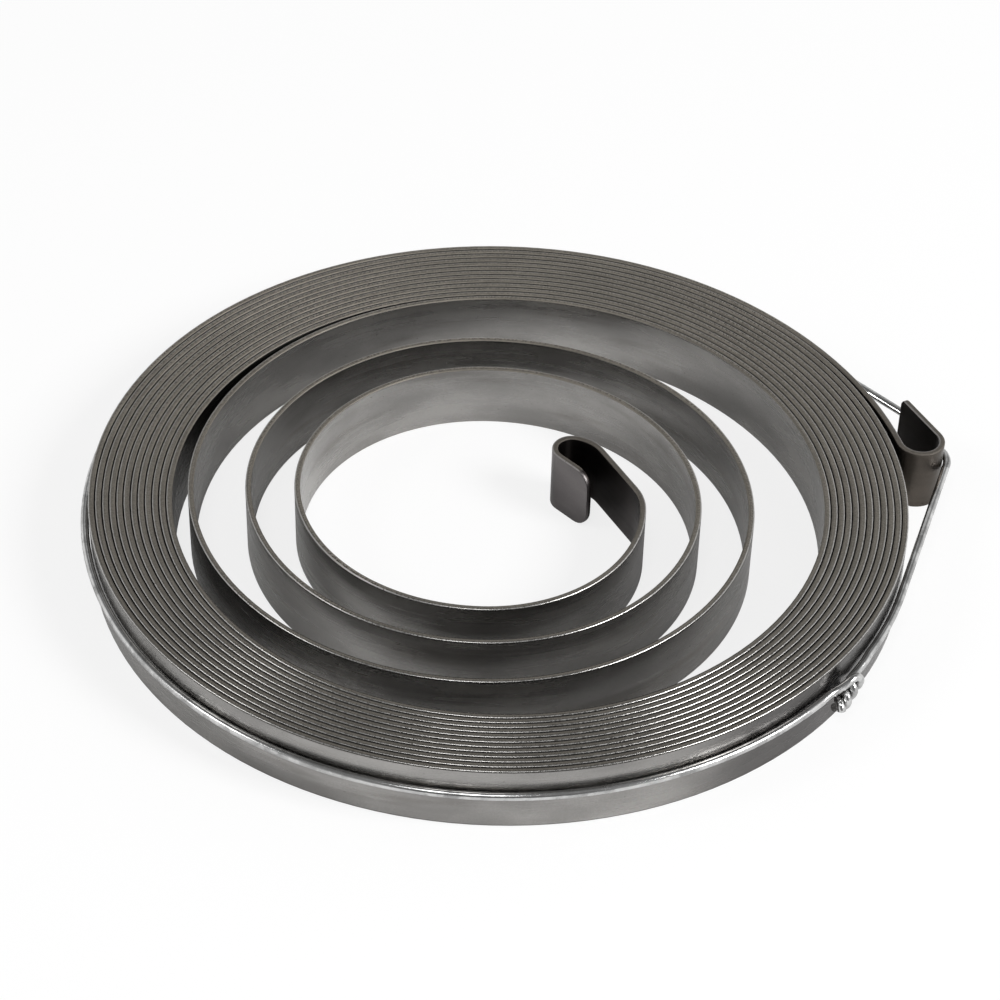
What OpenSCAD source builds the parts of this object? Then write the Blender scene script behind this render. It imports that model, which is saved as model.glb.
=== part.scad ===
// Recoil starter spring: one flat steel strip wound into a spiral, with a hook bent at each end,
// held wound by a loop of wire that goes round the coil and its outer hook.
// The spring lies flat. +Z is the axis of the coil and the origin is on it, at the strip's lower edge.
// Front is -Y, right is +X, and the strip runs outwards clockwise as seen from above.

/* [Strip] */
// Width of the strip, along the axis of the coil
strip_w = 8; // [5:0.25:12]
// Thickness of the strip
strip_t = 0.68; // [0.4:0.02:0.9]

/* [Tight pack] */
// Radius of the coil over its outermost turn
coil_r = 47.2; // [44:0.2:60]
// Turns in the pack
pack_turns = 12; // [6:1:14]
// Mean gap between neighbouring turns
pack_gap = 0.135; // [0.11:0.005:0.3]
// How much each gap closes up at the front and opens at the back
pack_crowd = 0.09; // [0:0.01:0.1]

/* [Loose turns] */
// Turns between the inner hook and the pack
loose_turns = 3; // [2:1:4]
// Radius of the innermost quarter turn, beside the inner hook
hub_r = 18; // [15:0.1:20]
// How far that quarter turn's centre lies in front of the coil's axis
hub_drop = 4; // [3:0.1:5]
// How far the loose turns sit to the left in the coil
loose_left = 1.7; // [0:0.1:2]
// How far the loose turns sit to the front in the coil
loose_front = 1.6; // [1.2:0.1:2]
// How much the loose turns crowd towards the hub and the pack
loose_crowd = 0.3; // [0:0.05:0.5]

/* [Inner hook] */
// Turn of the strip as it leaves the innermost turn, in degrees
inner_lead_turn = 29; // [20:1:40]
// Radius of that turn
inner_lead_r = 7; // [4:0.5:9]
// Length of the straight leg
inner_leg = 7.75; // [6:0.25:9]
// Turn of the easy bend after the leg, in degrees
inner_ease_turn = 50; // [30:1:60]
// Radius of the easy bend
inner_ease_r = 4.4; // [3:0.1:5]
// Turn of the close bend, in degrees
inner_bend_turn = 145; // [130:1:150]
// Radius of the close bend
inner_bend_r = 2.06; // [1.6:0.02:2.6]
// Length of the flap
inner_flap = 5; // [4:0.1:6]
// Radius of the flap's two corners
inner_corner_r = 2.1; // [0.5:0.1:2.4]

/* [Outer hook] */
// Turn from the back of the coil over which the strip still follows the coil, in degrees
outer_follow_turn = 40; // [30:1:45]
// How much larger than the coil's the radius of the last stretch is, which leaves the coil
outer_lift = 3.7; // [2.5:0.1:6]
// Turn of the last stretch, in degrees
outer_lead_turn = 36.3; // [32:0.1:40]
// Turn of the bend, in degrees
outer_bend_turn = 194; // [180:1:198]
// Radius of the bend
outer_bend_r = 2.55; // [2:0.05:3]
// Length of the free arm
outer_arm = 7.5; // [5:0.1:8]
// Radius of the arm's two corners
outer_corner_r = 0.7; // [0.3:0.1:2]

/* [Retaining wire] */
// Diameter of the wire
wire_d = 0.95; // [0.7:0.05:1.2]
// Height of the loop above the middle of the strip
wire_rise = 1; // [-0.5:0.1:1.5]
// Gap between the wire and what it goes round
wire_gap = 0.07; // [0.05:0.01:0.15]
// Place of the twist round the coil, in degrees from the right
twist_angle = -35.5; // [-60:0.5:-30]
// Length of the twisted tail
twist_len = 3.6; // [3:0.1:6]
// Length of one full turn of the twist
twist_pitch = 2.6; // [2.6:0.1:4]
// Slope of the tail below the loop, in degrees
twist_slope = 30; // [10:1:35]

/* [Hidden] */

strip_color = "#6b6963";
wire_color = "#b9bcbd";

// Arcs are drawn with this many sides to a full turn, and bends with this many degrees to a side
$fn = 144;
bend_step = 4;
// Drawing step: reaches are rounded to it, so that neighbouring arcs share their end faces exactly
grid = 0.001;

function snap(v) = round(v / grid) * grid;

// Reach of the strip's middle line from the axis at the front and at the back of pack turn i.
// Turn 0 is the back end of the last loose turn. The outermost turn is centred on the axis.
rim_r = snap(coil_r - strip_t / 2);
pack_pitch = strip_t + pack_gap;
function pack_front(i) = snap(rim_r - (pack_turns - i) * (pack_pitch - pack_crowd));
function pack_back(i) = snap(rim_r - (pack_turns - i) * (pack_pitch + pack_crowd));

// Reach at the front and back of loose turn i, on the way from the hub out to the pack
first_front = hub_r + hub_drop;
loose_pitch = (pack_front(1) - first_front) / loose_turns;
function loose_reach(n) = first_front + n * loose_pitch - loose_crowd * sin(360 * n / loose_turns);
function loose_front_reach(i) = snap(loose_reach(i - 1));
function loose_back_reach(i) = snap(loose_reach(i - 0.5) - 2 * loose_front);

// The last loose turn reaches the pack in two quarter turns, which move its centre onto the coil's axis
last_front = loose_front_reach(loose_turns);
join_r = snap((pack_back(0) + last_front - loose_left) / 2);

// Path of the strip's middle line through the hooks: stations of [x, y, heading], and moves that are
// bends of [turn, radius], to the left if positive, or straights of [0, length]
function ahead(s, d) = [s[0] + d * cos(s[2]), s[1] + d * sin(s[2]), s[2]];
function bent(s, turn, r) =
    let (side = sign(turn) * r)
    [s[0] + side * (sin(s[2] + turn) - sin(s[2])), s[1] + side * (cos(s[2]) - cos(s[2] + turn)), s[2] + turn];
function stretch(s, move) =
    let (n = ceil(abs(move[0]) / bend_step))
    move[0] == 0 ? [ahead(s, move[1])] : [for (i = [1:n]) bent(s, move[0] * i / n, move[1])];
function walk(s, moves, i = 0) =
    i == len(moves) ? [s] :
    let (path = concat([s], stretch(s, moves[i])))
    concat([for (j = [0:len(path) - 2]) path[j]], walk(path[len(path) - 1], moves, i + 1));
function last(list) = list[len(list) - 1];
function reversed(list) = [for (i = [len(list) - 1:-1:0]) list[i]];

// Points beside a path, to its left by d
function beside(path, d) = [for (s = path) [s[0] - d * sin(s[2]), s[1] + d * cos(s[2])]];

inner_start = [hub_r - loose_left, -hub_drop, 90];
inner_path = walk(inner_start, [
    [inner_lead_turn, inner_lead_r],
    [0, inner_leg],
    [inner_ease_turn, inner_ease_r],
    [inner_bend_turn, inner_bend_r],
    [0, inner_flap]
]);

lift_r = rim_r + outer_lift;
lift_start = bent([0, rim_r, 0], -outer_follow_turn, rim_r);
lift_end = bent(lift_start, -outer_lead_turn, lift_r);
outer_path = walk([0, rim_r, 0], [
    [-outer_follow_turn, rim_r],
    [-outer_lead_turn, lift_r],
    [outer_bend_turn, outer_bend_r],
    [0, outer_arm]
]);
lift_centre = beside([lift_start], -lift_r)[0];
outer_bend_centre = beside([lift_end], outer_bend_r)[0];
arm_corner = last(beside(outer_path, -strip_t / 2));

// One arc of the strip: its centre, its middle radius, where it starts and how far it turns
module strip_arc(centre, r, from, turn) {
    translate([centre[0], centre[1], 0])
        rotate([0, 0, from])
            rotate_extrude(angle = turn)
                translate([r - strip_t / 2, 0])
                    square([strip_t, strip_w]);
}

// Half turns whose ends lie on the line x: over the left side from front to back, or over the right side
module left_half(x, front, back) {
    strip_arc([x, (back - front) / 2], (front + back) / 2, 90, 180);
}

module right_half(x, back, front) {
    strip_arc([x, (back - front) / 2], (front + back) / 2, -90, 180);
}

module pack() {
    for (i = [1:pack_turns]) {
        right_half(0, pack_back(i - 1), pack_front(i));
        left_half(0, pack_front(i), pack_back(i));
    }
}

module loose_spiral() {
    strip_arc([-loose_left, -hub_drop], hub_r, -90, 90);
    for (i = [1:loose_turns - 1]) {
        left_half(-loose_left, loose_front_reach(i), loose_back_reach(i));
        right_half(-loose_left, loose_back_reach(i), loose_front_reach(i + 1));
    }
    strip_arc([-loose_left, join_r - last_front], join_r, 180, 90);
    strip_arc([0, join_r - last_front], join_r + loose_left, 90, 90);
}

// What is cut off the two corners of a free end to round them, for the end's station
module corner_cut(end, r) {
    spill = 1;
    arc_steps = 6;
    corner = concat(
        [[spill, -spill], [spill, r]],
        [for (i = [0:arc_steps]) [-r + r * cos(90 * i / arc_steps), r - r * sin(90 * i / arc_steps)]],
        [[-r, -spill]]
    );
    translate([end[0], end[1], strip_w / 2])
        rotate([0, 0, end[2]])
            for (up = [0, 1])
                mirror([0, 0, up])
                    translate([0, strip_t, -strip_w / 2])
                        rotate([90, 0, 0])
                            linear_extrude(2 * strip_t)
                                polygon(corner);
}

module hook(path, corner_r) {
    difference() {
        linear_extrude(strip_w)
            polygon(concat(beside(path, strip_t / 2), reversed(beside(path, -strip_t / 2))));
        corner_cut(last(path), corner_r);
    }
}

module spring_strip() {
    color(strip_color) {
        hook(inner_path, inner_corner_r);
        loose_spiral();
        pack();
        hook(outer_path, outer_corner_r);
    }
}

// The wire's middle line is tangent to circles of [x, y, radius] that it goes round clockwise
wire_z = strip_w / 2 + wire_rise;
wire_off = strip_t / 2 + wire_gap + wire_d / 2;
last_back = pack_back(pack_turns - 1);
rim_right = [0, (last_back - rim_r) / 2, (last_back + rim_r) / 2 + wire_off];
rim_left = [0, 0, rim_r + wire_off];
rim_lift = [lift_centre[0], lift_centre[1], lift_r + wire_off];
tip_round = [arm_corner[0], arm_corner[1], wire_gap + wire_d / 2];
bend_round = [outer_bend_centre[0], outer_bend_centre[1], outer_bend_r + wire_off];

// Direction from both centres to the line that touches circle a and then circle b
function tangent(a, b) =
    let (dx = b[0] - a[0], dy = b[1] - a[1])
    atan2(dy, dx) + acos((a[2] - b[2]) / norm([dx, dy]));
function on_circle(c, a) = [c[0] + c[2] * cos(a), c[1] + c[2] * sin(a), wire_z];
function clockwise(c, from, to, step) =
    let (n = max(1, ceil((from - to) / step)))
    [for (i = [0:n]) on_circle(c, from + (to - from) * i / n)];

rim_step = 4;
hook_step = 9;
to_tip = tangent(rim_lift, tip_round);
to_bend = tangent(tip_round, bend_round);
to_rim = tangent(bend_round, rim_right);

// The twist is drawn from its own origin on the loop, with axes along the coil (clockwise),
// outwards and up, in wire diameters. The left end turns back outside the right end.
function from_twist(p) =
    let (o = on_circle(rim_right, twist_angle), c = cos(twist_angle), s = sin(twist_angle))
    [o[0] + wire_d * (p[0] * s + p[1] * c), o[1] + wire_d * (p[1] * s - p[0] * c), o[2] + wire_d * p[2]];
left_lead = [[2.9, 0.35, 0.3], [1.9, 0.75, 0.65], [1.1, 0.95, 0.85], [0.45, 1.1, 0.62], [0.02, 1.22, 0.02]];
right_lead = [[-3, 0, -0.15], [-1.8, 0.02, -0.35], [-0.7, 0.05, -0.42]];

// Two strands run round the tail's own line, half a turn apart, turning to the left
tail_start = [0.2, 0.64, -0.5];
tail_first = 153;
strand_r = 0.55;
strand_step = 45;
function tail_point(d, phase) =
    let (a = phase - 360 * d * wire_d / twist_pitch)
    tail_start + [
        d * cos(twist_slope) + strand_r * sin(a) * sin(twist_slope),
        strand_r * cos(a),
        strand_r * sin(a) * cos(twist_slope) - d * sin(twist_slope)
    ];
function strand(phase) =
    let (n = ceil(360 * twist_len / twist_pitch / strand_step))
    [for (i = [0:n + 1]) tail_point(twist_len / wire_d * i / n, phase)];

// Smooth line through points, from the second to the last but one
curve_steps = 3;
function between(a, b, c, d, t) =
    b + (c - a) * t / 2 + (2 * a - 5 * b + 4 * c - d) * t * t / 2 + (3 * b - a - 3 * c + d) * t * t * t / 2;
function smooth(p) = concat(
    [for (i = [1:len(p) - 3], j = [0:curve_steps - 1]) between(p[i - 1], p[i], p[i + 1], p[i + 2], j / curve_steps)],
    [p[len(p) - 2]]
);
function placed(points) = [for (p = points) from_twist(p)];

lead_angle = 5;
loop = concat(
    clockwise(rim_right, twist_angle - lead_angle, -90, rim_step),
    clockwise(rim_left, -90 - rim_step, -270 - outer_follow_turn, rim_step),
    clockwise(rim_lift, 90 - outer_follow_turn - rim_step, to_tip, rim_step),
    clockwise(tip_round, to_tip - hook_step / 2, to_bend, hook_step / 2),
    clockwise(bend_round, to_bend - hook_step / 2, to_rim, hook_step),
    clockwise(rim_right, to_rim, twist_angle + lead_angle, rim_step)
);
left_end = smooth(concat([loop[1], loop[0]], placed(concat(left_lead, strand(tail_first - 180)))));
right_end = smooth(concat([loop[len(loop) - 2], last(loop)], placed(concat(right_lead, strand(tail_first)))));
wire_line = concat(
    reversed(left_end),
    [for (i = [1:len(loop) - 2]) loop[i]],
    right_end
);

// Round rod along a line that never points straight away from the coil's axis
rod_sides = 10;
function unit(v) = v / norm(v);
function along(line, i) = unit(line[min(i + 1, len(line) - 1)] - line[max(i - 1, 0)]);
function ring(p, t, r) =
    let (u = unit(cross(t, [p[0], p[1], 0])), v = cross(u, t))
    [for (k = [0:rod_sides - 1]) p + r * (u * cos(360 * k / rod_sides) + v * sin(360 * k / rod_sides))];

module rod(line, d) {
    n = rod_sides;
    top = len(line) - 1;
    points = [for (i = [0:top]) each ring(line[i], along(line, i), d / 2)];
    walls = [
        for (i = [0:top - 1], k = [0:n - 1])
            let (a = i * n + k, b = i * n + (k + 1) % n)
            each [[a, b, b + n], [a, b + n, a + n]]
    ];
    ends = [reversed([for (k = [0:n - 1]) k]), [for (k = [0:n - 1]) top * n + k]];
    polyhedron(points, concat(walls, ends));
}

module retaining_wire() {
    color(wire_color) rod(wire_line, wire_d);
}

spring_strip();
retaining_wire();
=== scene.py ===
"""Recoil starter spring: the wound steel strip and its tie wire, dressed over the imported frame.

The strip is drawn by carrying one rounded section along its path, from the inner hook through the
loose turns and the tight pack to the outer hook. The wire is drawn by bridging rings along its loop
and its twisted tail. Sizes are in millimetres, and the finished meshes are scaled to metres.
Front is -Y, right is +X, +Z is the coil's axis, and the strip lies on z = 0.
"""

import logging
import math
from collections.abc import Mapping, Sequence
from dataclasses import dataclass
from enum import Enum

import bmesh
import bpy
from mathutils import Matrix, Vector

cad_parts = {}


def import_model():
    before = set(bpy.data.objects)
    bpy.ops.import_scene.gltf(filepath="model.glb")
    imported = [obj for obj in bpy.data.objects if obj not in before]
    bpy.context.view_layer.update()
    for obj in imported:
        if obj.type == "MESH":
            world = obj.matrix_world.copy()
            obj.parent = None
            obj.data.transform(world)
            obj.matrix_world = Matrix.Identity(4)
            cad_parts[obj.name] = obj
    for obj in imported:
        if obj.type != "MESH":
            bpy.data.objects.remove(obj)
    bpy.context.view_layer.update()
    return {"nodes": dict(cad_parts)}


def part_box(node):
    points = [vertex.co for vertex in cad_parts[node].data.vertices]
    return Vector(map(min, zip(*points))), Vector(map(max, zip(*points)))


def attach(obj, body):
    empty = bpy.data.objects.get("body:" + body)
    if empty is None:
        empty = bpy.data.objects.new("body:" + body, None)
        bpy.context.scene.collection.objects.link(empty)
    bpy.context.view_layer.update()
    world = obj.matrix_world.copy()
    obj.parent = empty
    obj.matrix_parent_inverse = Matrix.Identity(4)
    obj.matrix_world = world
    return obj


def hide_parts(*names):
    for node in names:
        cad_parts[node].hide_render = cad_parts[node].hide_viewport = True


LOG = logging.getLogger("recoil_spring")
MM = 0.001
UP = Vector((0.0, 0.0, 1.0))
ALONG = "along"
THROUGH = "through"

Rgb = tuple[float, float, float]
Point = tuple[float, float, float]
Span = tuple[float, float]
Drawn = bmesh.types.BMVert | bmesh.types.BMEdge | bmesh.types.BMFace


class Slot(Enum):
    """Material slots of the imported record."""

    SPRING_STEEL = "spring_steel"
    TIE_WIRE = "tie_wire"


class Layer(Enum):
    """Ways in which one colour is laid over another."""

    COVER = "MIX"
    TINT = "MULTIPLY"


class Shade:
    """A number that varies over a surface. Python arithmetic on it adds Math nodes."""

    def __init__(self, sheet: "NodeSheet", socket: bpy.types.NodeSocket) -> None:
        """Keep the node sheet and the socket that gives the number."""
        self.sheet = sheet
        self.socket = socket

    def _math(self, operation: str, *values: "Shade | float") -> "Shade":
        """Add one Math node and give its result."""
        node = self.sheet.add("ShaderNodeMath", {"operation": operation}, dict(enumerate(values)))
        return Shade(self.sheet, node.outputs[0])

    def __add__(self, other: "Shade | float") -> "Shade":
        """Sum."""
        return self._math("ADD", self, other)

    def __radd__(self, other: float) -> "Shade":
        """Sum, from the right."""
        return self._math("ADD", other, self)

    def __sub__(self, other: "Shade | float") -> "Shade":
        """Difference."""
        return self._math("SUBTRACT", self, other)

    def __rsub__(self, other: float) -> "Shade":
        """Difference, from the right."""
        return self._math("SUBTRACT", other, self)

    def __mul__(self, other: "Shade | float") -> "Shade":
        """Product."""
        return self._math("MULTIPLY", self, other)

    def __rmul__(self, other: float) -> "Shade":
        """Product, from the right."""
        return self._math("MULTIPLY", other, self)

    def __abs__(self) -> "Shade":
        """Size without its sign."""
        return self._math("ABSOLUTE", self)

    def larger(self, other: "Shade | float") -> "Shade":
        """The larger of two numbers."""
        return self._math("MAXIMUM", self, other)

    def rise(self, low: float, high: float) -> "Shade":
        """Step smoothly from 0 to 1.

        Args:
            low: where the step starts.
            high: where the step ends.

        Returns:
            0 below low, 1 above high, and a smooth step between.
        """
        node = self.sheet.add(
            "ShaderNodeMapRange",
            {"interpolation_type": "SMOOTHSTEP"},
            {"Value": self, "From Min": low, "From Max": high, "To Min": 0.0, "To Max": 1.0},
        )
        return Shade(self.sheet, node.outputs["Result"])

    def span(self, low: float, high: float) -> "Shade":
        """Spread a number between 0 and 1 evenly from low to high."""
        return low + self * (high - low)


class NodeSheet:
    """The nodes of one material or world."""

    def __init__(self, tree: bpy.types.NodeTree) -> None:
        """Start from an empty tree."""
        self.tree = tree
        tree.nodes.clear()

    def add(
        self,
        kind: str,
        settings: Mapping[str, object] | None = None,
        sockets: Mapping[int | str, object] | None = None,
    ) -> bpy.types.Node:
        """Add a node.

        Args:
            kind: type name of the node.
            settings: properties of the node, set first.
            sockets: values or links of its inputs, by name or number.

        Returns:
            The new node.
        """
        node = self.tree.nodes.new(kind)
        for name, setting in (settings or {}).items():
            setattr(node, name, setting)
        for key, value in (sockets or {}).items():
            if isinstance(value, Shade):
                value = value.socket
            if isinstance(value, bpy.types.NodeSocket):
                self.tree.links.new(value, node.inputs[key])
            else:
                node.inputs[key].default_value = value
        return node

    def attribute(self, name: str) -> Shade:
        """Read a number that the mesh carries at its points."""
        return Shade(self, self.add("ShaderNodeAttribute", {"attribute_name": name}).outputs["Fac"])

    def place(self) -> bpy.types.NodeSocket:
        """Object coordinates of the shaded point, in metres."""
        return self.add("ShaderNodeTexCoord").outputs["Object"]

    def parts(self, vector: bpy.types.NodeSocket) -> tuple[Shade, Shade, Shade]:
        """The three parts of a vector."""
        node = self.add("ShaderNodeSeparateXYZ", None, {"Vector": vector})
        return tuple(Shade(self, socket) for socket in node.outputs)

    def vector(self, x: Shade | float, y: Shade | float, z: Shade | float) -> bpy.types.NodeSocket:
        """Join three numbers to a vector."""
        return self.add("ShaderNodeCombineXYZ", None, {"X": x, "Y": y, "Z": z}).outputs["Vector"]

    def noise(
        self, vector: bpy.types.NodeSocket, scale: float, detail: float, rough: float = 0.5
    ) -> Shade:
        """Soft noise.

        Args:
            vector: where the noise is read.
            scale: features per unit of the vector.
            detail: number of finer layers.
            rough: weight of the finer layers.

        Returns:
            Noise about 0.5.
        """
        node = self.add(
            "ShaderNodeTexNoise",
            None,
            {"Vector": vector, "Scale": scale, "Detail": detail, "Roughness": rough},
        )
        return Shade(self, node.outputs[0])

    def colours(
        self,
        share: Shade | float,
        below: Rgb | bpy.types.NodeSocket,
        above: Rgb | bpy.types.NodeSocket,
        layer: Layer = Layer.COVER,
    ) -> bpy.types.NodeSocket:
        """Lay one colour over another.

        Args:
            share: how much of the upper colour shows, from 0 to 1.
            below: the lower colour.
            above: the upper colour.
            layer: how the upper colour is laid.

        Returns:
            The socket of the result.
        """
        factor, first, second, result = 0, 6, 7, 2  # the Mix node's sockets for colours
        ends = [
            end if isinstance(end, bpy.types.NodeSocket) else (*end, 1.0) for end in (below, above)
        ]
        node = self.add(
            "ShaderNodeMix",
            {"data_type": "RGBA", "blend_type": layer.value},
            {factor: share, first: ends[0], second: ends[1]},
        )
        return node.outputs[result]

    def relief(self, height: Shade, depth: float, strength: float) -> bpy.types.NodeSocket:
        """Turn a height from 0 to 1 into a bumped normal, with its depth in metres."""
        sockets = {"Height": height, "Distance": depth, "Strength": strength}
        return self.add("ShaderNodeBump", None, sockets).outputs["Normal"]

    def metal(
        self,
        colour: bpy.types.NodeSocket,
        roughness: Shade,
        normal: bpy.types.NodeSocket,
    ) -> None:
        """Finish the sheet as bare metal.

        Args:
            colour: base colour.
            roughness: roughness of the surface.
            normal: bumped normal.
        """
        sockets = {"Base Color": colour, "Roughness": roughness, "Normal": normal, "Metallic": 1.0}
        shader = self.add("ShaderNodeBsdfPrincipled", None, sockets)
        self.add("ShaderNodeOutputMaterial", None, {"Surface": shader.outputs["BSDF"]})


def blend(shades: Sequence[Shade], weights: Sequence[float]) -> Shade:
    """Add numbers up by their weights."""
    first, *others = (shade * weight for shade, weight in zip(shades, weights))
    return sum(others, first)


def new_material(name: str) -> tuple[bpy.types.Material, NodeSheet]:
    """Make a material.

    Args:
        name: name of the material.

    Returns:
        The material and its empty node sheet.
    """
    material = bpy.data.materials.new(name)
    material.use_nodes = True
    return material, NodeSheet(material.node_tree)


@dataclass(frozen=True)
class Grain:
    """A pattern on a strip: features per millimetre along and across it, in a layer of noise."""

    along: float
    across: float
    layer: float = 0.0
    detail: float = 3.0
    rough: float = 0.5

    def over(
        self, sheet: NodeSheet, along: Shade, across: Shade, layer: Shade | None = None
    ) -> Shade:
        """Noise of the pattern, about 0.5, in its own layer or in one that varies."""
        place = sheet.vector(along * self.along, across * self.across, layer or self.layer)
        return sheet.noise(place, 1.0, self.detail, self.rough)


class StripSurface:
    """Reads where a shaded point lies on the strip, in millimetres, and marks zones from 0 to 1.

    A zone is given by the depth below an edge, side or end at which it starts, and the depth at
    which it is full.
    """

    def __init__(self, sheet: NodeSheet, width: float, thickness: float, length: float) -> None:
        """Read the point's place.

        Args:
            sheet: nodes of the material.
            width: width of the strip.
            thickness: thickness of the strip.
            length: length of the strip.
        """
        self.half_width = width / 2
        self.half_thickness = thickness / 2
        self.length = length
        self.place = sheet.place()
        self.right, self.back, up = (part * (1 / MM) for part in sheet.parts(self.place))
        self.across = up - self.half_width
        self.along = sheet.attribute(ALONG)
        self.through = sheet.attribute(THROUGH)

    def by_edges(self, start: float, full: float) -> Shade:
        """Mark the two long edges."""
        return abs(self.across).rise(self.half_width - start, self.half_width - full)

    def by_outside(self, start: float, full: float) -> Shade:
        """Mark what lies by the side that faces out of the coil."""
        return self.through.rise(self.half_thickness - start, self.half_thickness - full)

    def by_inside(self, start: float, full: float) -> Shade:
        """Mark what lies by the side that faces into the coil."""
        return 1.0 - self.through.rise(full - self.half_thickness, start - self.half_thickness)

    def by_inner_tip(self, start: float, full: float) -> Shade:
        """Mark the inner end of the strip."""
        return 1.0 - self.along.rise(full, start)

    def by_outer_tip(self, start: float, full: float) -> Shade:
        """Mark the outer end of the strip."""
        return self.along.rise(self.length - start, self.length - full)


class SteelSurface(StripSurface):
    """The strip's surface in its finish: zones marked from 0 to 1, and patterns about 0.5."""

    def __init__(self, sheet: NodeSheet, finish: "SpringSteelFinish", *sizes: float) -> None:
        """Mark the zones and make the patterns.

        Args:
            sheet: nodes of the material.
            finish: values of the finish.
            sizes: width, thickness and length of the strip.
        """
        super().__init__(sheet, *sizes)
        self.sheet = sheet
        self.finish = finish
        self.edge = self.by_edges(*finish.edge_depth)
        self.face = 1.0 - self.edge
        self.corner = self.edge * self.by_outside(*finish.corner_depth)
        inner_corner = self.edge * self.by_inside(*finish.inside_depth)
        # painted shade in the grooves between turns: the top of the outer wall and the inner corner
        # are darkened, fully at the front and fading out towards the back
        wall_top = self.by_edges(*finish.wall_top_depth) * self.by_outside(*finish.wall_depth)
        front = 1.0 - self.back.rise(*finish.groove_shade_reach)
        self.painted_groove_shade = wall_top.larger(inner_corner) * front
        self.matt = inner_corner.larger(self.corner) * self.back.rise(*finish.matt_reach)
        # painted shade: the faces of the outer wall at the right front of the coil are darkened
        toward_right_front = self.right * finish.right_shade_way[0] - self.back * finish.right_shade_way[1]
        self.painted_right_shade = toward_right_front.rise(*finish.right_shade_reach) * self.face
        inner_end = self.by_inner_tip(*finish.inner_tip_depth)
        self.outer_end = self.by_outer_tip(*finish.outer_tip_depth)
        self.ends = inner_end.larger(self.outer_end)
        # painted shade: the hollow side of each hook is darkened, the side facing into the coil at
        # the inner hook and the side facing out at the outer hook
        outside = self.through.rise(*finish.outside_from)
        self.painted_hollow_shade = (inner_end * (1.0 - outside)).larger(self.outer_end * outside)
        self.streaks, self.clouds, smudges, specks = (
            grain.over(sheet, self.along, self.across)
            for grain in (finish.streaks, finish.clouds, finish.smudges, finish.specks)
        )
        self.smudges = smudges.rise(*finish.smudge_range)
        self.specks = specks.rise(*finish.speck_range)
        lift = self.across * finish.line_lift
        self.lines = finish.lines.over(sheet, self.along, self.through, lift)
        self.grit = sheet.noise(self.place, finish.grit_scale, finish.grit_detail)

    def colour(self) -> bpy.types.NodeSocket:
        """Lay the colours over each other, from the bare faces to the darkened ends, with painted
        shade in the grooves, on the outer wall's right front and in the hooks' hollows.

        Returns:
            The socket of the colour.
        """
        finish, lay = self.finish, self.sheet.colours
        tone = blend((self.streaks, self.clouds, self.grit), finish.face_mix)
        face = lay(tone.rise(*finish.face_range), finish.face_dark, finish.face_light)
        face = lay(self.smudges * finish.smudge_share, face, finish.smudge_tint, Layer.TINT)
        face = lay(self.specks * finish.speck_share, face, finish.speck)
        drawn = blend((self.lines, self.grit), finish.edge_mix).rise(*finish.edge_range)
        rim = lay(drawn, finish.edge_dark, finish.edge_light)
        worn = self.corner * self.grit.rise(*finish.corner_range)
        colour = lay(worn, lay(self.edge, face, rim), finish.corner)
        # painted shade in the grooves between turns
        colour = lay(self.painted_groove_shade * finish.groove_shade_share, colour, finish.groove_shade)
        ends = (self.ends - self.edge * self.ends * finish.end_share_on_edge) * finish.end_share
        tints = (
            # painted shade on the outer wall's right front
            (self.painted_right_shade * finish.right_shade_share, finish.right_shade_tint),
            (ends, finish.end_tint),
            (self.outer_end * self.face, finish.hook_tint),
            # painted shade on the hooks' hollow sides
            (self.painted_hollow_shade * self.face, finish.hollow_shade_tint),
        )
        for share, tint in tints:
            colour = lay(share, colour, tint, Layer.TINT)
        return colour

    def roughness(self) -> Shade:
        """Make the roughness, higher on the edges, the ends and the matt corners.

        Returns:
            The roughness.
        """
        finish = self.finish
        rolled = blend((self.streaks, self.clouds), finish.sheen_mix)
        smooth = rolled.rise(*finish.sheen_range).span(*finish.face_rough)
        rough = self.grit.rise(*finish.sheen_range).span(*finish.edge_rough)
        dulled = self.ends * finish.end_rough + self.matt * finish.matt_rough
        return smooth + self.edge * (rough - smooth) + dulled

    def normal(self) -> bpy.types.NodeSocket:
        """Make the relief of streaks, pits and drawn lines.

        Returns:
            The socket of the normal.
        """
        finish = self.finish
        pits = self.grit * (finish.relief_grit + self.edge * finish.relief_edge_grit)
        lines = self.lines * self.edge * finish.relief_edge_lines
        height = self.streaks * finish.relief_streaks + pits + lines
        return self.sheet.relief(height, finish.relief_depth, finish.relief_strength)


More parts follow.
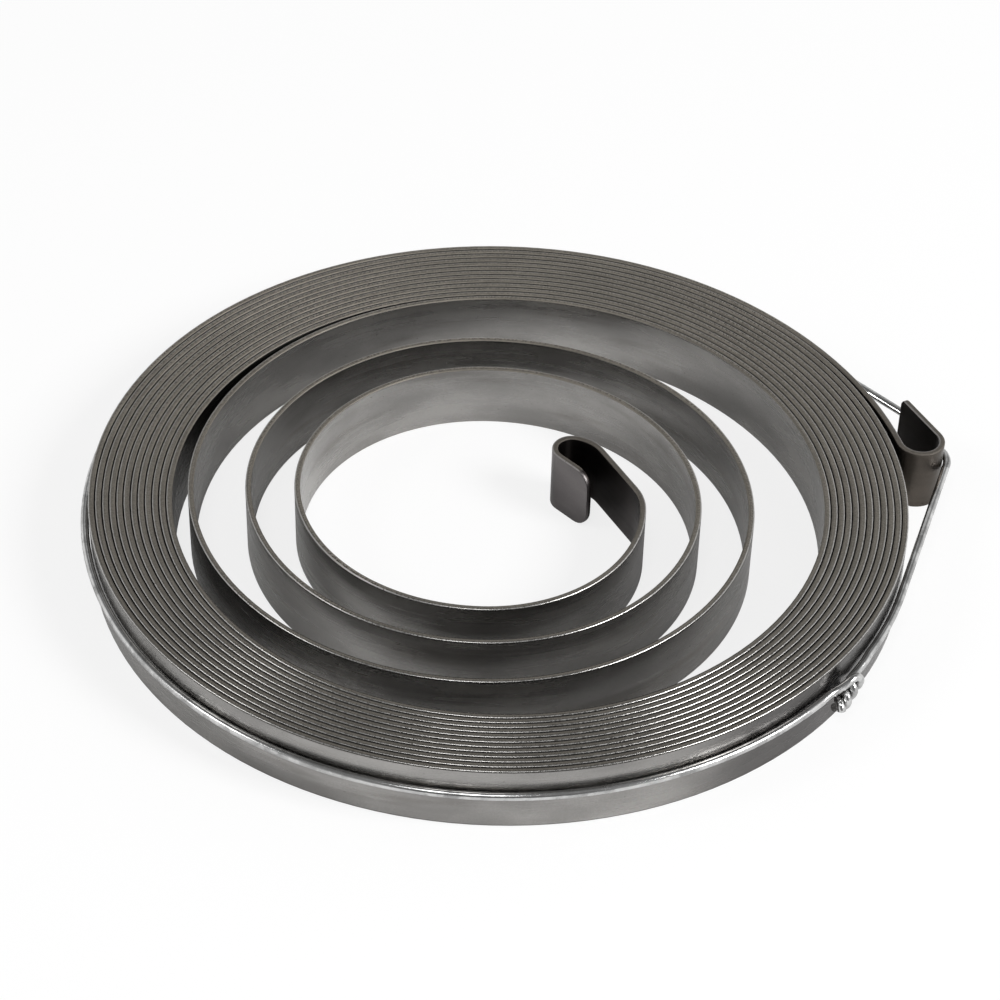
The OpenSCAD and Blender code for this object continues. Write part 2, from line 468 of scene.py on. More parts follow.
@dataclass(frozen=True)
class SpringSteelFinish:
    """Rolled and tempered strip: streaked grey faces, duller edges and dark ends, with painted
    shade in the grooves between turns, in the hooks' hollows and on the outer wall's right front.

    Depths are in millimetres and pairs of them say where a zone starts and where it is full.
    Reaches are places on the coil, in millimetres from its axis.
    """

    face_dark: Rgb = (0.235, 0.229, 0.221)
    face_light: Rgb = (0.38, 0.37, 0.357)
    edge_dark: Rgb = (0.18, 0.166, 0.144)
    edge_light: Rgb = (0.28, 0.258, 0.224)
    corner: Rgb = (0.5, 0.49, 0.475)
    # colour of the painted shade in the grooves between turns
    groove_shade: Rgb = (0.03, 0.028, 0.025)
    speck: Rgb = (0.07, 0.065, 0.06)
    smudge_tint: Rgb = (0.66, 0.64, 0.62)
    # colour of the painted shade on the outer wall's right front
    right_shade_tint: Rgb = (0.3, 0.295, 0.3)
    end_tint: Rgb = (0.46, 0.435, 0.45)
    hook_tint: Rgb = (0.6, 0.565, 0.49)
    # colour of the painted shade on the hooks' hollow sides
    hollow_shade_tint: Rgb = (0.3, 0.28, 0.27)

    smudge_share: float = 0.6
    speck_share: float = 0.5
    # strength of the painted shade in the grooves between turns
    groove_shade_share: float = 0.9
    # strength of the painted shade on the outer wall's right front
    right_shade_share: float = 0.9
    end_share: float = 0.95
    end_share_on_edge: float = 0.5

    edge_depth: Span = (0.2, 0.06)
    corner_depth: Span = (0.22, 0.08)
    wall_top_depth: Span = (0.24, 0.14)
    wall_depth: Span = (0.06, 0.02)
    inside_depth: Span = (0.27, 0.17)
    inner_tip_depth: Span = (44.0, 16.0)
    outer_tip_depth: Span = (46.0, 14.0)
    outside_from: Span = (-0.1, 0.1)
    # where the painted shade in the grooves fades out towards the back
    groove_shade_reach: Span = (-36.0, -4.0)
    matt_reach: Span = (-26.0, 8.0)
    # where the painted shade on the outer wall's right front starts and is full, and its direction
    right_shade_reach: Span = (40.5, 45.4)
    right_shade_way: Span = (0.8, 0.6)

    streaks: Grain = Grain(0.03, 1.4, rough=0.45)
    clouds: Grain = Grain(0.07, 0.16, layer=13.0)
    smudges: Grain = Grain(0.045, 0.32, layer=41.0)
    specks: Grain = Grain(2.2, 2.2, layer=29.0, detail=2.0)
    lines: Grain = Grain(0.12, 7.0, detail=4.0, rough=0.6)
    line_lift: float = 0.4
    grit_scale: float = 4200.0
    grit_detail: float = 2.0
    face_mix: Point = (0.14, 0.9, 0.15)
    edge_mix: Span = (0.6, 0.4)
    sheen_mix: Span = (0.5, 0.5)
    smudge_range: Span = (0.5, 0.7)
    speck_range: Span = (0.7, 0.76)
    face_range: Span = (0.36, 0.83)
    edge_range: Span = (0.36, 0.64)
    corner_range: Span = (0.15, 0.45)
    sheen_range: Span = (0.3, 0.7)

    face_rough: Span = (0.2, 0.32)
    edge_rough: Span = (0.22, 0.33)
    end_rough: float = 0.12
    matt_rough: float = 0.4
    relief_streaks: float = 0.04
    relief_grit: float = 0.08
    relief_edge_grit: float = 0.16
    relief_edge_lines: float = 0.25
    relief_depth: float = 0.00002
    relief_strength: float = 0.3

    def material(self, width: float, thickness: float, length: float) -> bpy.types.Material:
        """Make the material.

        Args:
            width: width of the strip.
            thickness: thickness of the strip.
            length: length of the strip.

        Returns:
            The material.
        """
        material, sheet = new_material("spring_steel_streaked")
        steel = SteelSurface(sheet, self, width, thickness, length)
        sheet.metal(steel.colour(), steel.roughness(), steel.normal())
        return material


@dataclass(frozen=True)
class ZincWireFinish:
    """Bright drawn wire with a thin zinc coat: pale, a little cloudy, with faint draw lines."""

    dull: Rgb = (0.3, 0.3, 0.297)
    bright: Rgb = (0.62, 0.62, 0.615)
    rough: Span = (0.14, 0.28)
    cloud_scale: float = 420.0
    cloud_detail: float = 4.0
    cloud_rough: float = 0.6
    pit_scale: float = 2600.0
    pit_detail: float = 2.0
    lines: Grain = Grain(0.3, 9.0, rough=0.6)
    tone_mix: Span = (0.7, 0.3)
    tone_range: Span = (0.34, 0.62)
    relief_mix: Span = (0.6, 0.4)
    relief_depth: float = 0.00003
    relief_strength: float = 0.3

    def material(self) -> bpy.types.Material:
        """Make the material.

        Returns:
            The material.
        """
        material, sheet = new_material("zinc_wire_bright")
        place = sheet.place()
        clouds = sheet.noise(place, self.cloud_scale, self.cloud_detail, self.cloud_rough)
        pits = sheet.noise(place, self.pit_scale, self.pit_detail)
        lines = self.lines.over(sheet, sheet.attribute(ALONG), clouds)
        tone = blend((clouds, lines), self.tone_mix).rise(*self.tone_range)
        colour = sheet.colours(tone, self.dull, self.bright)
        roughness = (1.0 - tone).span(*self.rough)
        height = blend((pits, lines), self.relief_mix)
        normal = sheet.relief(height, self.relief_depth, self.relief_strength)
        sheet.metal(colour, roughness, normal)
        return material


def solid_piece(
    mesh: bmesh.types.BMesh, name: str, node: str, material: bpy.types.Material
) -> bpy.types.Object:
    """Turn a finished bmesh in millimetres into a piece that stands for its CAD node.

    Args:
        mesh: the bmesh, which is freed.
        name: name of the piece.
        node: CAD node that the piece replaces.
        material: finish of the piece.

    Returns:
        The new object.
    """
    bmesh.ops.recalc_face_normals(mesh, faces=mesh.faces[:])
    bmesh.ops.scale(mesh, vec=(MM, MM, MM), verts=mesh.verts[:])
    data = bpy.data.meshes.new(name)
    mesh.to_mesh(data)
    mesh.free()
    data.materials.append(material)
    piece = bpy.data.objects.new(name, data)
    bpy.context.scene.collection.objects.link(piece)
    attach(piece, "root")
    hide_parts(node)
    return piece


@dataclass(frozen=True)
class Station:
    """A place on the strip's middle line, and the heading of the strip there in degrees."""

    x: float
    y: float
    heading: float

    def forward(self) -> Vector:
        """Unit vector along the heading."""
        angle = math.radians(self.heading)
        return Vector((math.cos(angle), math.sin(angle), 0.0))

    def beside(self, distance: float) -> Vector:
        """Point to the left of the station by a distance."""
        ahead = self.forward()
        return Vector((self.x - distance * ahead.y, self.y + distance * ahead.x, 0.0))

    def turned_back(self) -> "Station":
        """The same place, heading the other way."""
        return Station(self.x, self.y, self.heading + 180.0)


@dataclass(frozen=True)
class Move:
    """One stretch of the strip: a straight, or a bend that goes left if its turn is positive."""

    length: float = 0.0
    turn: float = 0.0
    radius: float = 0.0

    def after(self, start: Station) -> Station:
        """Station at the end of the move.

        Args:
            start: station at its start.

        Returns:
            The station at its end.
        """
        if not self.turn:
            ahead = start.forward() * self.length
            return Station(start.x + ahead.x, start.y + ahead.y, start.heading)
        side = math.copysign(self.radius, self.turn)
        centre = start.beside(side)
        end = Station(centre.x, centre.y, start.heading + self.turn)
        place = end.beside(-side)
        return Station(place.x, place.y, end.heading)

    def turned_back(self) -> "Move":
        """The same stretch, run the other way."""
        return Move(self.length, -self.turn, self.radius)


def only(kind: type[Drawn], drawn: Sequence[Drawn]) -> list[Drawn]:
    """Pick the points, edges or faces out of drawn geometry."""
    return [element for element in drawn if isinstance(element, kind)]


class StripBender:
    """Draws a strip by carrying its rounded section along a path, one stretch at a time."""

    COIL_STEP = 2.5
    BEND_STEP = 6.0
    CLOSE_RADIUS = 10.0
    CORNER_STEPS = 7
    EDGE_STEPS = 4
    SUPPORT = 0.12
    JOIN = 0.002

    def __init__(self, start: Station, width: float, thickness: float, edge_r: float) -> None:
        """Start with no stretch drawn.

        Args:
            start: station where the strip begins.
            width: width of the strip.
            thickness: thickness of the strip.
            edge_r: radius of the strip's four edges.
        """
        self.whole = bmesh.new()
        for name in (ALONG, THROUGH):
            self.whole.verts.layers.float.new(name)
        self.station = start
        self.width = width
        self.thickness = thickness
        self.edge_r = edge_r
        self.run = 0.0

    def section(self) -> bmesh.types.BMesh:
        """Draw the outline of the strip's section at the current station.

        Returns:
            A new bmesh that holds only the outline.
        """
        mesh = bmesh.new()
        for name in (ALONG, THROUGH):
            mesh.verts.layers.float.new(name)
        along, through = (mesh.verts.layers.float[name] for name in (ALONG, THROUGH))
        made = bmesh.ops.create_grid(mesh, x_segments=1, y_segments=1, size=0.5)["verts"]
        bmesh.ops.scale(mesh, vec=(self.thickness, self.width, 1.0), verts=made)
        bmesh.ops.bevel(
            mesh,
            geom=made,
            offset=self.edge_r,
            offset_type="OFFSET",
            segments=self.EDGE_STEPS,
            profile=0.5,
            affect="VERTICES",
            material=-1,
        )
        bmesh.ops.delete(mesh, geom=mesh.faces[:], context="FACES_ONLY")
        sides = [edge for edge in mesh.edges if edge.calc_length() > self.width / 2]
        bmesh.ops.subdivide_edges(mesh, edges=sides, cuts=2)
        flat = self.width / 2 - self.edge_r - self.SUPPORT
        for vert in mesh.verts:
            if abs(vert.co.y) < flat:
                vert.co.y = math.copysign(flat, vert.co.y)
            vert[along] = self.run
            vert[through] = vert.co.x
        ahead = self.station.forward()
        turn = Matrix((UP.cross(ahead), UP, ahead)).transposed().to_4x4()
        place = Matrix.Translation((self.station.x, self.station.y, self.width / 2)) @ turn
        bmesh.ops.transform(mesh, matrix=place, verts=mesh.verts[:])
        return mesh

    def _keep(self, stretch: bmesh.types.BMesh) -> None:
        """Add a drawn stretch to the strip.

        Args:
            stretch: the stretch, which is freed.
        """
        scratch = bpy.data.meshes.new("stretch")
        stretch.to_mesh(scratch)
        stretch.free()
        self.whole.from_mesh(scratch)
        bpy.data.meshes.remove(scratch)

    def _push(
        self, stretch: bmesh.types.BMesh, outline: Sequence[bmesh.types.BMEdge], length: float
    ) -> list[Drawn]:
        """Extrude an outline straight ahead.

        Args:
            stretch: the bmesh that holds the outline.
            outline: edges of the outline.
            length: how far it goes.

        Returns:
            Points and edges of the new outline.
        """
        made = bmesh.ops.extrude_edge_only(stretch, edges=outline)["geom"]
        verts, edges = only(bmesh.types.BMVert, made), only(bmesh.types.BMEdge, made)
        bmesh.ops.translate(stretch, vec=self.station.forward() * length, verts=verts)
        self.station = Move(length=length).after(self.station)
        self.run += length
        layer = stretch.verts.layers.float[ALONG]
        for vert in verts:
            vert[layer] = self.run
        return verts + edges

    def _pull_in(self, stretch: bmesh.types.BMesh, outline: Sequence[Drawn], amount: float) -> None:
        """Bring an outline's upper and lower edge nearer to the strip's middle.

        Args:
            stretch: the bmesh that holds the outline.
            outline: points and edges of the outline.
            amount: how far each edge moves.
        """
        verts = only(bmesh.types.BMVert, outline)
        upper = [vert for vert in verts if vert.co.z > self.width / 2]
        lower = [vert for vert in verts if vert.co.z < self.width / 2]
        bmesh.ops.translate(stretch, vec=UP * -amount, verts=upper)
        bmesh.ops.translate(stretch, vec=UP * amount, verts=lower)

    def straight(self, length: float) -> None:
        """Draw a straight stretch.

        Args:
            length: length of the stretch.
        """
        stretch = self.section()
        self._push(stretch, stretch.edges[:], length)
        self._keep(stretch)

    def bend(self, move: Move) -> None:
        """Draw a bend.

        Args:
            move: turn and radius of the bend.
        """
        stretch = self.section()
        layer = stretch.verts.layers.float[ALONG]
        centre = self.station.beside(math.copysign(move.radius, move.turn))
        first = Vector((self.station.x, self.station.y)) - centre.xy
        step = self.BEND_STEP if move.radius < self.CLOSE_RADIUS else self.COIL_STEP
        bmesh.ops.spin(
            stretch,
            geom=stretch.verts[:] + stretch.edges[:],
            cent=centre,
            axis=UP,
            angle=math.radians(move.turn),
            steps=math.ceil(abs(move.turn) / step),
        )
        for vert in stretch.verts:
            spoke = vert.co.xy - centre.xy
            side = first.x * spoke.y - first.y * spoke.x
            swept = abs(math.atan2(side, first.dot(spoke)))
            past_half = math.copysign(side, side * move.turn) < -self.JOIN
            vert[layer] = self.run + move.radius * (math.tau - swept if past_half else swept)
        self._keep(stretch)
        self.station = move.after(self.station)
        self.run += move.radius * math.radians(abs(move.turn))

    def draw(self, move: Move) -> None:
        """Draw a bend or a straight stretch.

        Args:
            move: the stretch.
        """
        if move.turn:
            self.bend(move)
        else:
            self.straight(move.length)

    def tip(self, corner_r: float, first: bool) -> None:
        """Draw a rounded tip with its end face.

        Args:
            corner_r: radius of the tip's two corners.
            first: whether the tip starts the strip, or else ends it.
        """
        stretch = self.section()
        outline = stretch.verts[:] + stretch.edges[:]
        face_rim = stretch.edges[:]
        if first:
            self._pull_in(stretch, outline, corner_r)
        reach, inset = 0.0, corner_r if first else 0.0
        for step in range(1, self.CORNER_STEPS + 1):
            angle = math.radians(90.0 * step / self.CORNER_STEPS)
            part, rest = corner_r * math.sin(angle), corner_r * (1.0 - math.cos(angle))
            next_reach, next_inset = (rest, corner_r - part) if first else (part, rest)
            edges = only(bmesh.types.BMEdge, outline)
            outline = self._push(stretch, edges, next_reach - reach)
            self._pull_in(stretch, outline, next_inset - inset)
            reach, inset = next_reach, next_inset
        if not first:
            face_rim = only(bmesh.types.BMEdge, outline)
        bmesh.ops.contextual_create(stretch, geom=face_rim)
        self._keep(stretch)

    def finished(self) -> bmesh.types.BMesh:
        """Join the stretches, with smooth walls and flat end faces that have sharp rims.

        Returns:
            The whole strip.
        """
        bmesh.ops.remove_doubles(self.whole, verts=self.whole.verts[:], dist=self.JOIN)
        for face in self.whole.faces:
            face.smooth = len(face.verts) == 4
            if not face.smooth:
                for edge in face.edges:
                    edge.smooth = False
        return self.whole


@dataclass(frozen=True)
class SpringStrip:
    """The wound strip with its two hooks. Its path repeats the sizes of the CAD source."""

    coil_r: float
    width: float
    thickness: float = 0.68
    edge_r: float = 0.17
    pack_turns: int = 12
    pack_gap: float = 0.135
    pack_crowd: float = 0.09
    loose_turns: int = 3
    hub_r: float = 18.0
    hub_drop: float = 4.0
    loose_left: float = 1.7
    loose_front: float = 1.6
    loose_crowd: float = 0.3
    inner_moves: tuple[Move, ...] = (
        Move(turn=29.0, radius=7.0),
        Move(length=7.75),
        Move(turn=50.0, radius=4.4),
        Move(turn=145.0, radius=2.06),
        Move(length=5.0),
    )
    inner_corner_r: float = 2.1
    outer_follow_turn: float = 40.0
    outer_lift: float = 3.7
    outer_lead_turn: float = 36.3
    outer_bend_turn: float = 194.0
    outer_bend_r: float = 2.55
    outer_arm: float = 7.5
    outer_corner_r: float = 0.7
    finish: SpringSteelFinish = SpringSteelFinish()

    @classmethod
    def from_frame(cls) -> "SpringStrip":
        """Take the coil's radius and the strip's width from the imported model."""
        low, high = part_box("spring_strip")
        return cls(coil_r=-low.x / MM, width=(high.z - low.z) / MM)

    @property
    def rim_r(self) -> float:
        """Radius of the outermost turn's middle line."""
        return self.coil_r - self.thickness / 2

    @property
    def pack_pitch(self) -> float:
        """Mean distance from one pack turn to the next."""
        return self.thickness + self.pack_gap

    @property
    def lift_r(self) -> float:
        """Radius of the last stretch, which leaves the coil."""
        return self.rim_r + self.outer_lift

    def pack_front(self, turn: int) -> float:
        """Reach of a pack turn at the front of the coil."""
        return self.rim_r - (self.pack_turns - turn) * (self.pack_pitch - self.pack_crowd)

    def pack_back(self, turn: int) -> float:
        """Reach of a pack turn at the back of the coil."""
        return self.rim_r - (self.pack_turns - turn) * (self.pack_pitch + self.pack_crowd)

    def loose_reach(self, turns: float) -> float:
        """Reach of the loose spiral.

        Args:
            turns: turns from the front of the hub.

        Returns:
            The distance from the axis at which the spiral passes the front of the coil.
        """
        first = self.hub_r + self.hub_drop
        pitch = (self.pack_front(1) - first) / self.loose_turns
        crowd = self.loose_crowd * math.sin(math.tau * turns / self.loose_turns)
        return first + turns * pitch - crowd

    def loose_moves(self) -> list[Move]:
        """The moves from the inner hook out to the back of the pack.

        Returns:
            The moves, in order.
        """
        moves = [Move(turn=-90.0, radius=self.hub_r)]
        for turn in range(1, self.loose_turns):
            front, after = self.loose_reach(turn - 1), self.loose_reach(turn)
            back = self.loose_reach(turn - 0.5) - 2 * self.loose_front
            moves.append(Move(turn=-180.0, radius=(front + back) / 2))
            moves.append(Move(turn=-180.0, radius=(back + after) / 2))
        last = self.loose_reach(self.loose_turns - 1)
        join_r = (self.pack_back(0) + last - self.loose_left) / 2
        moves.append(Move(turn=-90.0, radius=join_r))
        moves.append(Move(turn=-90.0, radius=join_r + self.loose_left))
        return moves

    def pack_moves(self) -> list[Move]:
        """The half turns of the pack.

        Returns:
            The moves, in order.
        """
        moves = []
        for turn in range(1, self.pack_turns + 1):
            front = self.pack_front(turn)
            moves.append(Move(turn=-180.0, radius=(self.pack_back(turn - 1) + front) / 2))
            moves.append(Move(turn=-180.0, radius=(front + self.pack_back(turn)) / 2))
        return moves

    def outer_moves(self) -> list[Move]:
        """The moves from the back of the coil to the outer hook's tip.

        Returns:
            The moves, in order.
        """
        return [
            Move(turn=-self.outer_follow_turn, radius=self.rim_r),
            Move(turn=-self.outer_lead_turn, radius=self.lift_r),
            Move(turn=self.outer_bend_turn, radius=self.outer_bend_r),
            Move(length=self.outer_arm),
        ]

    def outer_stations(self) -> list[Station]:
        """Stations at the start of the outer hook and after each of its moves.

        Returns:
            The stations, in order.
        """
        stations = [Station(0.0, self.rim_r, 0.0)]
        for move in self.outer_moves():
            stations.append(move.after(stations[-1]))
        return stations

    def build(self) -> bpy.types.Object:
        """Draw the strip from its inner tip to its outer tip, and dress it.

        Returns:
            The piece.
        """
        tip = Station(self.hub_r - self.loose_left, -self.hub_drop, 90.0)
        for move in self.inner_moves:
            tip = move.after(tip)
        bender = StripBender(tip.turned_back(), self.width, self.thickness, self.edge_r)
        bender.tip(self.inner_corner_r, first=True)
        bender.straight(self.inner_moves[-1].length - self.inner_corner_r)
        for move in reversed(self.inner_moves[:-1]):
            bender.draw(move.turned_back())
        for move in self.loose_moves() + self.pack_moves() + self.outer_moves()[:-1]:
            bender.draw(move)
        bender.straight(self.outer_arm - self.outer_corner_r)
        bender.tip(self.outer_corner_r, first=False)
        steel = self.finish.material(self.width, self.thickness, bender.run)
        mesh = bender.finished()
        return solid_piece(mesh, "wound_strip", "spring_strip", steel)


@dataclass(frozen=True)
class Circle:
    """A circle in the wire's plane that the wire goes round clockwise."""

    x: float
    y: float
    radius: float
    z: float

    def at(self, angle: float) -> Vector:
        """Point of the circle at an angle in degrees."""
        spoke = Matrix.Rotation(math.radians(angle), 3, "Z") @ Vector((self.radius, 0.0, 0.0))
        return Vector((self.x, self.y, self.z)) + spoke

    def touch(self, other: "Circle") -> float:
        """Direction from both centres to the line that touches this circle and then another.

        Args:
            other: the circle that the line goes to.

        Returns:
            The direction in degrees.
        """
        dx, dy = other.x - self.x, other.y - self.y
        lean = math.acos((self.radius - other.radius) / math.hypot(dx, dy))
        return math.degrees(math.atan2(dy, dx) + lean)

    def arc(self, start: float, stop: float, step: float) -> list[Vector]:
        """Points clockwise from one angle to a smaller one, in degrees, a step apart at most."""
        count = max(1, math.ceil((start - stop) / step))
        return [self.at(start + (stop - start) * i / count) for i in range(count + 1)]


@dataclass(frozen=True)
class RetainingWire:
    """The wire loop round the coil and its outer hook, with its ends twisted into a short tail.

    The leads and the tail's start are given along the coil, outwards and up, in wire diameters.
    """

    strip: SpringStrip
    diameter: float = 0.95
    rise: float = 1.0
    gap: float = 0.07
    twist_angle: float = -35.5
    twist_length: float = 3.6
    twist_pitch: float = 2.6
    twist_slope: float = 30.0
    left_lead: tuple[Point, ...] = (
        (2.9, 0.35, 0.3),
        (1.9, 0.75, 0.65),
        (1.1, 0.95, 0.85),
        (0.45, 1.1, 0.62),
        (0.02, 1.22, 0.02),
    )
    right_lead: tuple[Point, ...] = ((-3.0, 0.0, -0.15), (-1.8, 0.02, -0.35), (-0.7, 0.05, -0.42))
    tail_start: Point = (0.2, 0.64, -0.5)
    tail_first: float = 153.0
    strand_r: float = 0.55
    lead_angle: float = 5.0
    rim_step: float = 2.5
    hook_step: float = 6.0
    strand_step: float = 20.0
    curve_steps: int = 4
    sides: int = 14
    finish: ZincWireFinish = ZincWireFinish()

    def circles(self) -> dict[str, Circle]:
        """The circles that the wire goes round.

        Returns:
            The circles, by the place that they stand for.
        """
        strip = self.strip
        z = strip.width / 2 + self.rise
        off = strip.thickness / 2 + self.gap + self.diameter / 2
        last_back = strip.pack_back(strip.pack_turns - 1)
        right_r = (last_back + strip.rim_r) / 2
        stations = strip.outer_stations()
        lift = stations[1].beside(-strip.lift_r)
        bend = stations[2].beside(strip.outer_bend_r)
        tip = stations[-1].beside(-strip.thickness / 2)
        return {
            "right": Circle(0.0, last_back - right_r, right_r + off, z),
            "left": Circle(0.0, 0.0, strip.rim_r + off, z),
            "lift": Circle(lift.x, lift.y, strip.lift_r + off, z),
            "tip": Circle(tip.x, tip.y, self.gap + self.diameter / 2, z),
            "bend": Circle(bend.x, bend.y, strip.outer_bend_r + off, z),
        }

    def loop(self, circles: Mapping[str, Circle]) -> list[Vector]:
        """Points of the loop, clockwise from the left side of the twist to its right side.

        Args:
            circles: the circles that the wire goes round.

        Returns:
            The points.
        """
        right, lift, tip, bend = (circles[name] for name in ("right", "lift", "tip", "bend"))
        to_tip, to_bend, to_rim = lift.touch(tip), tip.touch(bend), bend.touch(right)
        follow, rim, hook = self.strip.outer_follow_turn, self.rim_step, self.hook_step
        points = right.arc(self.twist_angle - self.lead_angle, -90.0, rim)
        points += circles["left"].arc(-90.0 - rim, -270.0 - follow, rim)
        points += lift.arc(90.0 - follow - rim, to_tip, rim)
        points += tip.arc(to_tip - hook, to_bend, hook)
        points += bend.arc(to_bend - hook, to_rim, hook)
        points += right.arc(to_rim, self.twist_angle + self.lead_angle, rim)
        return points

    def tail_point(self, along: float, phase: float) -> Point:
        """A point of one strand of the tail.

        Args:
            along: distance along the tail, in wire diameters.
            phase: where round the tail the strand starts, in degrees.

        Returns:
            The point in the twist's own axes.
        """
        angle = math.radians(phase - 360.0 * along * self.diameter / self.twist_pitch)
        slope = math.radians(self.twist_slope)
        up, out = self.strand_r * math.sin(angle), self.strand_r * math.cos(angle)
        return (
            self.tail_start[0] + along * math.cos(slope) + up * math.sin(slope),
            self.tail_start[1] + out,
            self.tail_start[2] + up * math.cos(slope) - along * math.sin(slope),
        )

    def strand(self, phase: float) -> list[Point]:
        """Points of one strand of the tail.

        Args:
            phase: where round the tail the strand starts, in degrees.

        Returns:
            The points, and one past the end to steer the curve.
        """
        count = math.ceil(360.0 * self.twist_length / self.twist_pitch / self.strand_step)
        reach = self.twist_length / self.diameter
        return [self.tail_point(reach * i / count, phase) for i in range(count + 2)]

    def placed(self, origin: Vector, points: Sequence[Point]) -> list[Vector]:
        """Move points from the twist's own axes to the part's.

        Args:
            origin: the twist's origin on the loop.
            points: points in the twist's axes.

        Returns:
            The points in the part's axes.
        """
        turn = math.radians(self.twist_angle)
        onward = Vector((math.sin(turn), -math.cos(turn), 0.0))
        outward = Vector((math.cos(turn), math.sin(turn), 0.0))
        axes = Matrix((onward, outward, UP)).transposed() * self.diameter
        return [origin + axes @ Vector(point) for point in points]

    def smooth(self, points: Sequence[Vector]) -> list[Vector]:
        """Smooth curve through points, from the second to the last but one.

        Args:
            points: the points.

        Returns:
            Points along the curve.
        """
        line = []
        for a, b, c, d in zip(points, points[1:], points[2:], points[3:]):
            for step in range(self.curve_steps):
                t = step / self.curve_steps
                bow = (2 * a - 5 * b + 4 * c - d) * t * t / 2
                line.append(b + (c - a) * t / 2 + bow + (3 * b - a - 3 * c + d) * t * t * t / 2)
        return line + [points[-2]]

    def line(self) -> list[Vector]:
        """The wire's middle line.

        Returns:
            Points from one cut end to the other.
        """
        circles = self.circles()
        loop = self.loop(circles)
        origin = circles["right"].at(self.twist_angle)
        left = self.placed(origin, [*self.left_lead, *self.strand(self.tail_first - 180.0)])
        right = self.placed(origin, [*self.right_lead, *self.strand(self.tail_first)])
        left_end = self.smooth([loop[1], loop[0], *left])
        right_end = self.smooth([loop[-2], loop[-1], *right])
        return left_end[::-1] + loop[1:-1] + right_end

    def build(self) -> bpy.types.Object:
        """Draw the wire as rings bridged along its line, and dress it.

        Returns:
            The piece.
        """
        mesh = bmesh.new()
        layer = mesh.verts.layers.float.new(ALONG)
        line = self.line()
        rings: list[list[bmesh.types.BMEdge]] = []
        run = 0.0
        for i, point in enumerate(line):
            ahead = (line[min(i + 1, len(line) - 1)] - line[max(i - 1, 0)]).normalized()
            side = ahead.cross(Vector((point.x, point.y, 0.0))).normalized()
            axes = Matrix((side, ahead.cross(side), ahead)).transposed().to_4x4()
            run += (point - line[max(i - 1, 0)]).length
            made = bmesh.ops.create_circle(
                mesh,
                cap_ends=False,
                radius=self.diameter / 2,
                segments=self.sides,
                matrix=Matrix.Translation(point) @ axes,
            )["verts"]
            for vert in made:
                vert[layer] = run
            rings.append(list({edge for vert in made for edge in vert.link_edges}))
        for ring, after in zip(rings, rings[1:]):
            bmesh.ops.bridge_loops(mesh, edges=ring + after)
        for face in mesh.faces:
            face.smooth = True
        for ring in (rings[0], rings[-1]):
            cap = bmesh.ops.contextual_create(mesh, geom=ring)["faces"]
            for edge in ring:
                edge.smooth = False
            for face in cap:
                face.smooth = False
        zinc = self.finish.material()
        return solid_piece(mesh, "tie_wire", "retaining_wire", zinc)


@dataclass(frozen=True)
class SoftLamp:
    """One square soft box that looks at the object."""

    name: str
    place: Point
    size: float
    power: float

    def build(self) -> None:
        """Make the lamp."""
        data = bpy.data.lights.new(self.name, "AREA")
        data.shape = "SQUARE"
        data.size = self.size
        data.energy = self.power
        lamp = bpy.data.objects.new(self.name, data)
        lamp.location = self.place
        lamp.rotation_euler = Vector(self.place).to_track_quat("Z", "Y").to_euler()
        bpy.context.scene.collection.objects.link(lamp)


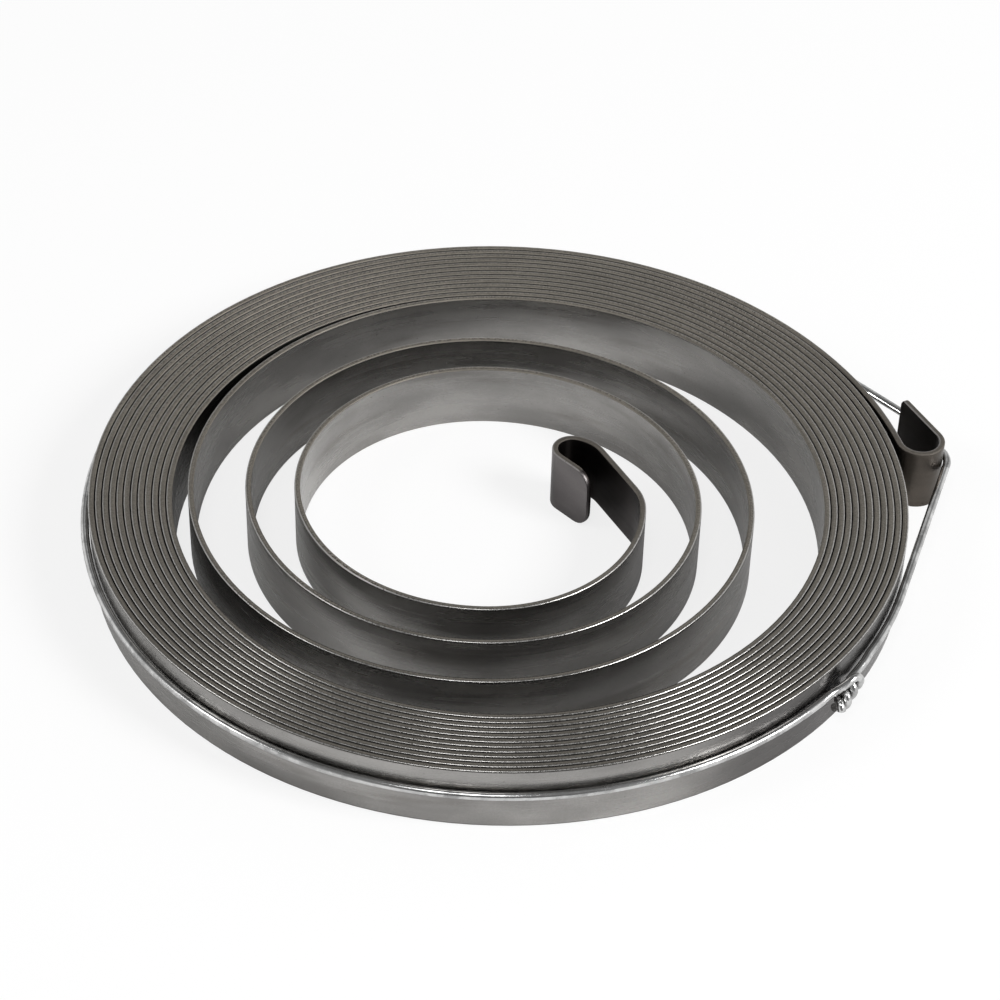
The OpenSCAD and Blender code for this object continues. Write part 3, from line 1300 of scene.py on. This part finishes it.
@dataclass(frozen=True)
class Studio:
    """Pale floor, soft light and the camera at the photograph's viewing angle."""

    elevation: float = 40.408
    roll: float = 1.5756
    distance: float = 336.9
    lens: float = 103.77
    sensor: float = 36.0
    nearest: float = 0.01
    shift: Span = (0.0005, 0.0333)
    floor_half: float = 4.0
    floor_colour: Rgb = (0.9, 0.9, 0.9)
    floor_glow: float = 0.8
    floor_sheen: float = 0.05
    sky_low: float = 0.2
    sky_high: float = 1.1
    side_spread: float = 1.1
    side_drop: float = 0.6
    side_range: Span = (0.1, 0.9)
    patch_way: Point = (0.06, 0.9, 0.43)
    patch_range: Span = (0.84, 0.985)
    patch_level: float = 0.52
    lamps: tuple[SoftLamp, ...] = (
        SoftLamp("key_soft_box", (0.66, -0.28, 0.55), 0.34, 6.8),
        SoftLamp("front_soft_box", (-0.08, -0.46, 0.74), 0.24, 1.3),
        SoftLamp("fill_soft_box", (-0.72, -0.15, 0.62), 0.26, 1.2),
    )

    def build(self) -> None:
        """Make the floor, the lamps, the surroundings and the camera."""
        bpy.context.scene.view_settings.view_transform = "Standard"
        self.build_floor()
        self.build_sky()
        self.build_camera()
        for lamp in self.lamps:
            lamp.build()

    def build_floor(self) -> None:
        """Make the floor, which keeps the object's shadow and shows nearly white."""
        mesh = bmesh.new()
        bmesh.ops.create_grid(mesh, x_segments=1, y_segments=1, size=self.floor_half)
        data = bpy.data.meshes.new("pale_floor")
        mesh.to_mesh(data)
        mesh.free()
        material, sheet = new_material("pale_floor")
        matt = sheet.add("ShaderNodeBsdfDiffuse", None, {"Color": (*self.floor_colour, 1.0)})
        white = sheet.add("ShaderNodeEmission", None, {"Strength": 1.0})
        path = sheet.add("ShaderNodeLightPath").outputs
        seen = Shade(sheet, path["Is Camera Ray"]) * self.floor_glow
        for ray in ("Is Glossy Ray", "Is Transmission Ray"):
            seen = seen.larger(Shade(sheet, path[ray]) * self.floor_sheen)
        sockets = {0: seen, 1: matt.outputs[0], 2: white.outputs[0]}
        mixed = sheet.add("ShaderNodeMixShader", None, sockets)
        sheet.add("ShaderNodeOutputMaterial", None, {"Surface": mixed.outputs[0]})
        data.materials.append(material)
        floor = bpy.data.objects.new("pale_floor", data)
        bpy.context.scene.collection.objects.link(floor)

    def build_sky(self) -> None:
        """Make the surroundings: dark, with a pale band low at each side and a patch behind."""
        world = bpy.data.worlds.new("studio_surroundings")
        world.use_nodes = True
        bpy.context.scene.world = world
        sheet = NodeSheet(world.node_tree)
        way = sheet.parts(sheet.add("ShaderNodeTexCoord").outputs["Generated"])
        across, _, up = way
        sides = (abs(across) * self.side_spread - up * self.side_drop).rise(*self.side_range)
        patch = blend(way, self.patch_way).rise(*self.patch_range) * self.patch_level
        low, high = (self.sky_low,) * 3, (self.sky_high,) * 3
        colour = sheet.colours(sides.larger(patch), low, high)
        sky = sheet.add("ShaderNodeBackground", None, {"Color": colour})
        sheet.add("ShaderNodeOutputWorld", None, {"Surface": sky.outputs[0]})

    def build_camera(self) -> None:
        """Make the camera, aimed at the coil's axis and rolled a little."""
        lift = math.radians(self.elevation)
        back = Vector((0.0, -math.cos(lift), math.sin(lift)))
        level = Matrix((Vector((1.0, 0.0, 0.0)), back.cross((1.0, 0.0, 0.0)), back)).transposed()
        data = bpy.data.cameras.new("camera")
        data.lens = self.lens
        data.sensor_width = self.sensor
        data.shift_x, data.shift_y = self.shift
        data.clip_start = self.nearest
        camera = bpy.data.objects.new("camera", data)
        turn = level @ Matrix.Rotation(math.radians(self.roll), 3, "Z")
        camera.matrix_world = Matrix.Translation(back * self.distance * MM) @ turn.to_4x4()
        bpy.context.scene.collection.objects.link(camera)
        bpy.context.scene.camera = camera


def main() -> None:
    """Build the strip, the wire and the studio, and report each piece."""
    logging.basicConfig(level=logging.INFO, format="%(message)s")
    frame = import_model()
    LOG.info("frame of %d nodes", len(frame["nodes"]))
    strip = SpringStrip.from_frame()
    for part in (strip, RetainingWire(strip)):
        piece = part.build()
        LOG.info("%s: %d faces", piece.name, len(piece.data.polygons))
    Studio().build()


if __name__ == "__main__":
    main()
